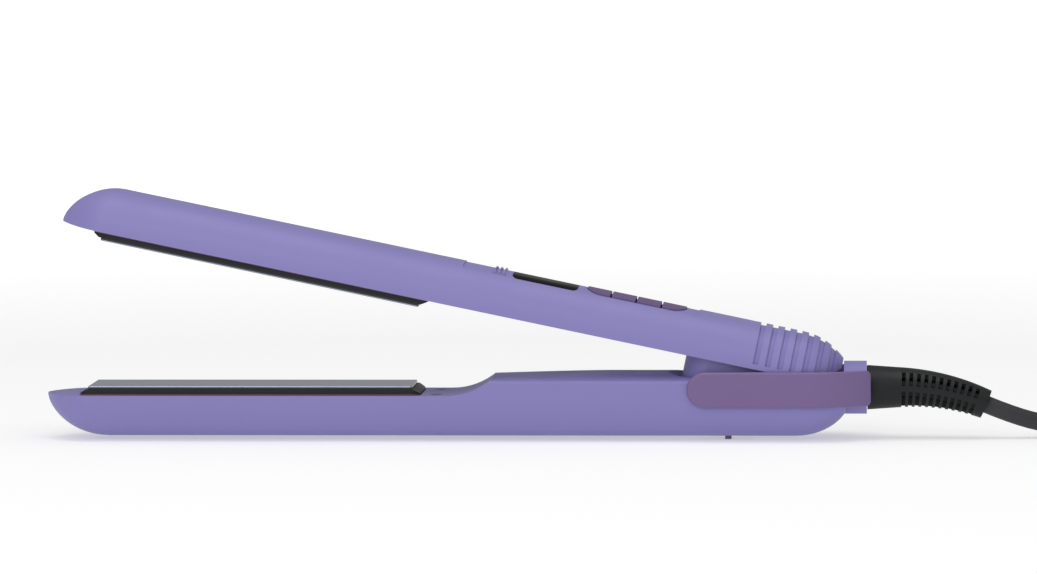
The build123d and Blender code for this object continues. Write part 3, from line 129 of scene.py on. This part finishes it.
# each turn moves over to the next place at its own x, within a short length
SHIFT_LAST, SHIFT_PITCH, SHIFT_LENGTH = 0.322, 0.016, 0.014
TAIL = [
    [0.2372, 0.018, 0.015],
    [0.2483, 0.0157, 0.017516],
    [0.2579, 0.0113, 0.022334],
    [0.269, 0.009, 0.02485],
    [0.281, 0.009, 0.02485],
]
places = [("outer", 0), ("inner", 0), ("inner", 1), ("outer", 1), ("outer", 2), ("inner", 2)]
seats = [(COLUMNS[column], LAYERS[layer]) for column, layer in places]
route = TUBE + [fold(FRONT_X, COLUMNS["outer"], LAYERS[0], 135.0)[1]]
for turn in range(TURNS):
    radius, z = seats[turn]
    route += [[x, radius, z] for x in (0.252, 0.281, 0.31)]
    route += fold(REAR_X, radius, z, 75.0)
    shift = SHIFT_LAST - SHIFT_PITCH * (TURNS - 1 - turn)
    route += shifting_run(seats[turn], seats[turn + 1], shift, shift - SHIFT_LENGTH)
    route += fold(FRONT_X, seats[turn + 1][0], seats[turn + 1][1], -105.0)
route += TAIL
print(len(route), "control points")

# %% [markdown]
# ## The cord itself
#
# The line becomes a curve with a round section, and then a mesh. The line without its section gives the
# points that the tube follows.


# %% Make the NURBS line and the tube
def nurbs(name, points, radius):
    """A quadratic NURBS line through control points, with a round section if radius is above zero."""
    curve = bpy.data.curves.new(name, "CURVE")
    curve.dimensions, curve.resolution_u = "3D", 6
    curve.bevel_depth, curve.bevel_resolution, curve.use_fill_caps = radius, 5, True
    spline = curve.splines.new("NURBS")
    spline.points.add(len(points) - 1)
    spline.points.foreach_set("co", np.c_[np.array(points), np.ones(len(points))].ravel())
    spline.use_endpoint_u = True
    spline.order_u = 3
    line = bpy.data.objects.new(name, curve)
    bpy.context.scene.collection.objects.link(line)
    bpy.context.view_layer.update()
    mesh = bpy.data.meshes.new_from_object(line.evaluated_get(bpy.context.evaluated_depsgraph_get()))
    bpy.data.objects.remove(line)
    mesh.name = name
    return mesh


def points_of(mesh):
    """A mesh's vertex positions as an n by 3 array."""
    flat = np.zeros(len(mesh.vertices) * 3)
    mesh.vertices.foreach_get("co", flat)
    return flat.reshape(-1, 3)


centreline = points_of(nurbs("cord_line", route, 0.0))
cord = bpy.data.objects.new("mains_cord", nurbs("mains_cord", route, CORD_D / 2))
bpy.context.scene.collection.objects.link(cord)
cord.data.shade_smooth()

# %% [markdown]
# ## Node groups for the finishes
#
# Moulded plastic is never one flat colour: the pigment drifts a little, the tool leaves a fine grain, and
# handling leaves some areas glossier. Each of these effects is one small group that several materials
# share.


# %% Helpers that build shader node groups
def group(name, inputs, outputs):
    """An empty shader group with float, colour or vector sockets, each given with its default."""
    tree = bpy.data.node_groups.new(name, "ShaderNodeTree")
    for label, kind, value in inputs:
        socket = tree.interface.new_socket(label, in_out="INPUT", socket_type=kind)
        if value is not None:
            socket.default_value = value
    for label, kind in outputs:
        tree.interface.new_socket(label, in_out="OUTPUT", socket_type=kind)
    return tree, tree.nodes.new("NodeGroupInput"), tree.nodes.new("NodeGroupOutput")


def linear(code):
    """An RRGGBB hex colour as the linear RGBA that a shader socket takes."""
    part = np.array([int(code[i : i + 2], 16) / 255 for i in (0, 2, 4)])
    part = np.where(part <= 0.04045, part / 12.92, ((part + 0.055) / 1.055) ** 2.4)
    return (*part.tolist(), 1.0)


# %% Colour drift: two close colours mixed by slow and fine noise
drift, g_in, g_out = group(
    "colour_drift",
    [
        ("Vector", "NodeSocketVector", None),
        ("Colour A", "NodeSocketColor", (0.5, 0.5, 0.5, 1)),
        ("Colour B", "NodeSocketColor", (0.4, 0.4, 0.4, 1)),
        ("Slow Scale", "NodeSocketFloat", 40.0),
        ("Fine Scale", "NodeSocketFloat", 900.0),
    ],
    [("Color", "NodeSocketColor"), ("Mask", "NodeSocketFloat")],
)
slow = drift.nodes.new("ShaderNodeTexNoise")
fine = drift.nodes.new("ShaderNodeTexNoise")
blendup = drift.nodes.new("ShaderNodeMath")
blendup.operation = "MULTIPLY_ADD"
blendup.inputs[1].default_value = 0.35
half = drift.nodes.new("ShaderNodeMath")
half.operation = "MULTIPLY"
half.inputs[1].default_value = 0.65
mix = drift.nodes.new("ShaderNodeMix")
mix.data_type = "RGBA"
for noise, label in ((slow, "Slow Scale"), (fine, "Fine Scale")):
    noise.inputs["Detail"].default_value = 4.0
    drift.links.new(g_in.outputs["Vector"], noise.inputs["Vector"])
    drift.links.new(g_in.outputs[label], noise.inputs["Scale"])
drift.links.new(slow.outputs["Fac"], half.inputs[0])
drift.links.new(fine.outputs["Fac"], blendup.inputs[0])
drift.links.new(half.outputs[0], blendup.inputs[2])
drift.links.new(blendup.outputs[0], mix.inputs["Factor"])
drift.links.new(g_in.outputs["Colour A"], mix.inputs[6])
drift.links.new(g_in.outputs["Colour B"], mix.inputs[7])
drift.links.new(mix.outputs[2], g_out.inputs["Color"])
drift.links.new(blendup.outputs[0], g_out.inputs["Mask"])

# %% Tool grain: a pebbled height from cells and noise
grain, g_in, g_out = group(
    "tool_grain",
    [
        ("Vector", "NodeSocketVector", None),
        ("Pebble Scale", "NodeSocketFloat", 2500.0),
        ("Pebble Share", "NodeSocketFloat", 0.6),
    ],
    [("Height", "NodeSocketFloat")],
)
cells = grain.nodes.new("ShaderNodeTexVoronoi")
cells.feature = "SMOOTH_F1"
noise = grain.nodes.new("ShaderNodeTexNoise")
noise.inputs["Detail"].default_value = 3.0
height = grain.nodes.new("ShaderNodeMix")
grain.links.new(g_in.outputs["Vector"], cells.inputs["Vector"])
grain.links.new(g_in.outputs["Pebble Scale"], cells.inputs["Scale"])
grain.links.new(g_in.outputs["Vector"], noise.inputs["Vector"])
grain.links.new(g_in.outputs["Pebble Scale"], noise.inputs["Scale"])
grain.links.new(g_in.outputs["Pebble Share"], height.inputs[0])
grain.links.new(noise.outputs["Fac"], height.inputs[2])
grain.links.new(cells.outputs["Distance"], height.inputs[3])
grain.links.new(height.outputs[0], g_out.inputs["Height"])

# %% Handling: roughness that wanders between two values
handling, g_in, g_out = group(
    "handling",
    [
        ("Vector", "NodeSocketVector", None),
        ("Scale", "NodeSocketFloat", 60.0),
        ("Smoothest", "NodeSocketFloat", 0.3),
        ("Roughest", "NodeSocketFloat", 0.5),
    ],
    [("Roughness", "NodeSocketFloat")],
)
noise = handling.nodes.new("ShaderNodeTexNoise")
noise.inputs["Detail"].default_value = 5.0
span = handling.nodes.new("ShaderNodeMapRange")
span.inputs["From Min"].default_value = 0.3
span.inputs["From Max"].default_value = 0.7
handling.links.new(g_in.outputs["Vector"], noise.inputs["Vector"])
handling.links.new(g_in.outputs["Scale"], noise.inputs["Scale"])
handling.links.new(noise.outputs["Fac"], span.inputs["Value"])
handling.links.new(g_in.outputs["Smoothest"], span.inputs["To Min"])
handling.links.new(g_in.outputs["Roughest"], span.inputs["To Max"])
handling.links.new(span.outputs[0], g_out.inputs["Roughness"])
print("groups", [g.name for g in bpy.data.node_groups])

# %% [markdown]
# ## One recipe, many finishes
#
# Every finish below is the same Principled shader fed by the three groups, with its own colours, roughness
# and grain. What makes the difference is the numbers: rubber is rough and pebbled, a polished plate is
# smooth and drawn out in one direction, and wire is bright.


# %% The recipe
def finish_material(
    name, light, dark, rough, grain_scale, grain_depth, stretch=(1, 1, 1), slow=40.0, **sockets
):
    """Principled shader: colour drift into Base Color, handling into Roughness, tool grain into Normal.

    rough is (smoothest, roughest), grain_depth is in metres, and stretch scales the object coordinates.
    """
    material = bpy.data.materials.new(name)
    material.use_nodes = True
    tree = material.node_tree
    shader = tree.nodes["Principled BSDF"]
    where = tree.nodes.new("ShaderNodeTexCoord")
    mapping = tree.nodes.new("ShaderNodeMapping")
    mapping.inputs["Scale"].default_value = stretch
    tree.links.new(where.outputs["Object"], mapping.inputs["Vector"])
    placed = {}
    for label, tool in (("drift", drift), ("handling", handling), ("grain", grain)):
        node = tree.nodes.new("ShaderNodeGroup")
        node.node_tree = tool
        tree.links.new(mapping.outputs["Vector"], node.inputs["Vector"])
        placed[label] = node
    placed["drift"].inputs["Colour A"].default_value = linear(light)
    placed["drift"].inputs["Colour B"].default_value = linear(dark)
    placed["drift"].inputs["Slow Scale"].default_value = slow
    placed["handling"].inputs["Smoothest"].default_value = rough[0]
    placed["handling"].inputs["Roughest"].default_value = rough[1]
    placed["grain"].inputs["Pebble Scale"].default_value = grain_scale
    bump = tree.nodes.new("ShaderNodeBump")
    bump.inputs["Distance"].default_value = grain_depth
    tree.links.new(placed["grain"].outputs["Height"], bump.inputs["Height"])
    tree.links.new(placed["drift"].outputs["Color"], shader.inputs["Base Color"])
    tree.links.new(placed["handling"].outputs["Roughness"], shader.inputs["Roughness"])
    tree.links.new(bump.outputs["Normal"], shader.inputs["Normal"])
    for label, value in sockets.items():
        shader.inputs[label.replace("_", " ")].default_value = value
    return material


def wear(material, *names):
    """Puts a finish on CAD nodes, in place of whatever they came with."""
    for name in names:
        data = nodes[name].data
        data.materials.clear()
        data.materials.append(material)


# %% [markdown]
# ### Lavender shells
#
# The two shells and their inner covers are the same satin moulding, with a grain so fine that it only
# softens the highlight.

# %% Shells and covers
lavender = finish_material(
    "lavender_satin", "857eb8", "807ab3", (0.42, 0.52), 3200.0, 0.000012, slow=25.0, Specular_IOR_Level=0.35
)
wear(lavender, "lower_shell", "upper_shell", "lower_inner_cover", "upper_inner_cover")
mauve = finish_material(
    "mauve_band", "75608f", "6e5a88", (0.34, 0.44), 3600.0, 0.00001, slow=50.0, Specular_IOR_Level=0.4
)
wear(mauve, "left_trim", "right_trim", "lock_slider")
soft_mauve = finish_material(
    "mauve_keys", "6d5a86", "66537e", (0.5, 0.6), 3000.0, 0.000012, slow=80.0, Specular_IOR_Level=0.15
)
wear(soft_mauve, "power_key", "minus_key", "plus_key", "mode_key")

# %% [markdown]
# ### Plates
#
# The heating plates are aluminium under a thin ceramic coat, lapped lengthwise, so their fine marks run
# along the arm. They sit in a black carrier; the gasket's dark rose is a painted reflection, seen as a
# line.

# %% Face mask: 1 more than a depth away from a plane
face_mask, g_in, g_out = group(
    "face_mask",
    [
        ("Vector", "NodeSocketVector", None),
        ("Axis", "NodeSocketVector", None),
        ("Height", "NodeSocketFloat", 0.0),
        ("Depth", "NodeSocketFloat", 0.0004),
    ],
    [("Mask", "NodeSocketFloat")],
)
along = face_mask.nodes.new("ShaderNodeVectorMath")
along.operation = "DOT_PRODUCT"
away, size, beyond = [face_mask.nodes.new("ShaderNodeMath") for _ in range(3)]
away.operation, size.operation, beyond.operation = "SUBTRACT", "ABSOLUTE", "GREATER_THAN"
face_mask.links.new(g_in.outputs["Vector"], along.inputs[0])
face_mask.links.new(g_in.outputs["Axis"], along.inputs[1])
face_mask.links.new(along.outputs["Value"], away.inputs[0])
face_mask.links.new(g_in.outputs["Height"], away.inputs[1])
face_mask.links.new(away.outputs[0], size.inputs[0])
face_mask.links.new(size.outputs[0], beyond.inputs[0])
face_mask.links.new(g_in.outputs["Depth"], beyond.inputs[1])
face_mask.links.new(beyond.outputs[0], g_out.inputs["Mask"])


def paint_dark_side_reflection(material, axis, height):
    """Only the working face of a plate is bright: its sides get a painted dark reflection, near black and
    not metallic.
    """
    tree = material.node_tree
    shader = tree.nodes["Principled BSDF"]
    where = tree.nodes.new("ShaderNodeTexCoord")
    mask = tree.nodes.new("ShaderNodeGroup")
    mask.node_tree = face_mask
    mask.inputs["Axis"].default_value = axis
    mask.inputs["Height"].default_value = height
    tree.links.new(where.outputs["Object"], mask.inputs["Vector"])
    side_reflection_tone = tree.nodes.new("ShaderNodeMix")
    side_reflection_tone.data_type = "RGBA"
    # painted dark reflection: a near-black colour on the plate sides, in place of metal
    side_reflection_tone.inputs[7].default_value = linear("1c1c1e")
    tree.links.new(mask.outputs["Mask"], side_reflection_tone.inputs["Factor"])
    tree.links.new(shader.inputs["Base Color"].links[0].from_socket, side_reflection_tone.inputs[6])
    tree.links.new(side_reflection_tone.outputs[2], shader.inputs["Base Color"])
    metal = tree.nodes.new("ShaderNodeMapRange")
    metal.inputs["To Min"].default_value = shader.inputs["Metallic"].default_value
    metal.inputs["To Max"].default_value = 0.0
    tree.links.new(mask.outputs["Mask"], metal.inputs["Value"])
    tree.links.new(metal.outputs[0], shader.inputs["Metallic"])


# %% Plates, carriers and gaskets
PLATE_LAP = (0.08, 1.6, 1.6)
HINGE, MEET_Z, OPENED = Vector((0.1146, 0.0, 0.0206)), 0.01885, radians(11.9)
swung_up = Vector((sin(OPENED), 0.0, cos(OPENED)))
faces = {
    "lower_heating_plate": (Vector((0.0, 0.0, 1.0)), MEET_Z),
    "upper_heating_plate": (swung_up, HINGE.dot(swung_up) + MEET_Z - HINGE.z),
}
for name, (axis, height) in faces.items():
    coated = finish_material(
        name + "_coat", "a0a7b8", "959cae", (0.2, 0.3), 2600.0, 0.000003, PLATE_LAP, Metallic=0.8
    )
    # the plate sides get a painted dark reflection
    paint_dark_side_reflection(coated, axis, height)
    wear(coated, name)
black = finish_material(
    "black_carrier", "1d1d1f", "161618", (0.4, 0.55), 2600.0, 0.00002, Specular_IOR_Level=0.3
)
wear(black, "lower_plate_carrier", "upper_plate_carrier", "display_module", "key_switches")
# painted reflection: the gaskets' dark rose paints the reddish line along the carrier
painted_reflection_rose = finish_material("gasket_painted_reflection", "6a4456", "5a3848", (0.45, 0.6), 2400.0, 0.00001)
wear(painted_reflection_rose, "lower_base_gasket", "upper_base_gasket")

# %% [markdown]
# ### Cord, strain relief and plug
#
# These are elastomers: dark, rather rough, and pebbled by the tool. The cord's sheath is greyer than the
# relief.

# %% Rubber and cord
relief = finish_material(
    "relief_rubber", "141618", "0e1012", (0.4, 0.55), 2200.0, 0.00003, Specular_IOR_Level=0.3
)
wear(relief, "strain_relief", "hank_tie")
sheath = finish_material(
    "cord_sheath", "343236", "2c2a2e", (0.46, 0.62), 1700.0, 0.00004, Specular_IOR_Level=0.35
)
cord.data.materials.clear()
cord.data.materials.append(sheath)
wear(sheath, "cord_tube", "cord_hank", "cord_tail")
hard_black = finish_material("hard_black", "232326", "1b1b1e", (0.32, 0.45), 2400.0, 0.00002)
wear(hard_black, "plug_body", "plug_pin_sleeves", "swivel_barrel")

# %% [markdown]
# ### Inner and small pieces
#
# Nobody sees the heater or the board with the covers on, but each still gets the finish of what it is.

# %% Metals, ceramic, board and wire
bright = finish_material("bright_pins", "cfccc6", "bdbab4", (0.18, 0.28), 2600.0, 0.000004, Metallic=1.0)
wear(bright, "plug_pins", "lower_thermal_fuse")
steel = finish_material(
    "turned_steel", "a4a6aa", "8f9195", (0.26, 0.38), 2600.0, 0.000008, (1, 1, 3), Metallic=1.0
)
wear(steel, "hinge_pin", "hinge_spring", "lower_heater_clip", "upper_heater_clip")
blackened = finish_material(
    "blackened_screws", "242427", "1a1a1c", (0.3, 0.42), 2600.0, 0.000008, Metallic=0.5
)
wear(blackened, "lower_cover_screws", "upper_cover_screws")
copper = finish_material(
    "copper_contacts", "c07c50", "a8653c", (0.28, 0.42), 2600.0, 0.000008, Metallic=1.0
)
wear(copper, "brush_contacts", "slip_rings", "hinge_bushes")
ceramic = finish_material("bare_ceramic", "ddd8cc", "cfc9bb", (0.6, 0.75), 1800.0, 0.00002)
wear(ceramic, "lower_heater", "upper_heater", "upper_thermistor")
silicone = finish_material("float_silicone", "985044", "87443a", (0.5, 0.65), 1800.0, 0.00002)
wear(silicone, "lower_float_pads", "upper_float_pads")
braid = finish_material("wire_braid", "c0bbb2", "aba69d", (0.6, 0.75), 1500.0, 0.00005)
wear(braid, "lower_leads", "upper_leads")
lacquer = finish_material("board_lacquer", "1f6242", "194f35", (0.25, 0.35), 1200.0, 0.00001)
wear(lacquer, "control_board")
window = finish_material(
    "display_window", "120c0a", "0c0807", (0.3, 0.4), 900.0, 0.000001, Specular_IOR_Level=0.05
)
wear(window, "display_lens")
print(len(bpy.data.materials), "materials")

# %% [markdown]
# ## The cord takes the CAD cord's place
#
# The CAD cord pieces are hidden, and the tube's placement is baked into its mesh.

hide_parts("cord_tube", "cord_hank", "cord_tail")
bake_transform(cord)

# %% [markdown]
# ## Springs and pads on their arms
#
# Three pieces are copied from their CAD pieces: the spring between the arms, and the silicone pads that
# each plate floats on. Each copy takes the place of its CAD piece and is attached to its arm.

# %% Copy them onto their arms
FLOOR_Z = 0.0031  # inner face of the lower shell
ceiling = HINGE + swung_up * (2 * MEET_Z - FLOOR_Z - HINGE.z)
giving = {
    "hinge_spring": ("lower_arm", "arm_hinge", (0, 0, 1), (0, 0, FLOOR_Z), 0.93, "spring_steel"),
    "lower_float_pads": ("lower_arm", "lower_plate_float", (0, 0, 1), (0, 0, FLOOR_Z), 0.86, "silicone"),
    "upper_float_pads": ("upper_arm", "upper_plate_float", swung_up, ceiling, 0.86, "silicone"),
}
for name, (body, joint, axis, anchor, keep, slot) in giving.items():
    source = nodes[name]
    mesh = source.data.copy()
    mesh.transform(source.matrix_world)
    piece = bpy.data.objects.new("soft_" + name, mesh)
    bpy.context.scene.collection.objects.link(piece)
    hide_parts(name)
    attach(piece, body)
    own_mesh(piece)
print(len(giving), "pieces give way")

# %% [markdown]
# ## Table and light
#
# A pale table under an even sky, one large soft lamp in front and a stronger one overhead, so that the
# upper half of each arm is the lighter one. The table glows a little far away, where the lamps don't reach
# it.

# %% Floor
reach = 14.0  # metres from the middle of the table to each edge
floor_mesh = bpy.data.meshes.new("table")
corners = [(-reach, -reach, 0), (reach, -reach, 0), (reach, reach, 0), (-reach, reach, 0)]
floor_mesh.from_pydata(corners, [], [(0, 1, 2, 3)])
floor = bpy.data.objects.new("table", floor_mesh)
bpy.context.scene.collection.objects.link(floor)
pale = bpy.data.materials.new("pale_table")
pale.use_nodes = True
surface = pale.node_tree.nodes["Principled BSDF"]
surface.inputs["Base Color"].default_value = (0.62, 0.62, 0.62, 1)
surface.inputs["Roughness"].default_value = 0.8
surface.inputs["Specular IOR Level"].default_value = 0.1
surface.inputs["Emission Color"].default_value = (1.0, 1.0, 1.0, 1)
where = pale.node_tree.nodes.new("ShaderNodeTexCoord")
distance = pale.node_tree.nodes.new("ShaderNodeVectorMath")
distance.operation = "LENGTH"
fade = pale.node_tree.nodes.new("ShaderNodeMapRange")
for label, value in (("From Min", 0.4), ("From Max", 1.6), ("To Min", 0.42), ("To Max", 0.85)):
    fade.inputs[label].default_value = value
pale.node_tree.links.new(where.outputs["Object"], distance.inputs[0])
pale.node_tree.links.new(distance.outputs["Value"], fade.inputs["Value"])
pale.node_tree.links.new(fade.outputs[0], surface.inputs["Emission Strength"])
floor_mesh.materials.append(pale)


# %% Lights
def softbox(name, place, power, width):
    """A square area light that faces the middle of the object."""
    data = bpy.data.lights.new(name, "AREA")
    data.energy, data.size = power, width
    lamp = bpy.data.objects.new(name, data)
    lamp.location = place
    lamp.rotation_euler = (aim - Vector(place)).to_track_quat("-Z", "Y").to_euler()
    bpy.context.scene.collection.objects.link(lamp)


softbox("key", (-0.4, -1.7, 0.9), 11.0, 1.2)
softbox("top", (0.05, -0.35, 1.8), 15.0, 1.4)
world = bpy.data.worlds.new("sky")
world.use_nodes = True
world.node_tree.nodes["Background"].inputs["Color"].default_value = (1.0, 1.0, 1.0, 1)
world.node_tree.nodes["Background"].inputs["Strength"].default_value = 0.4
bpy.context.scene.world = world
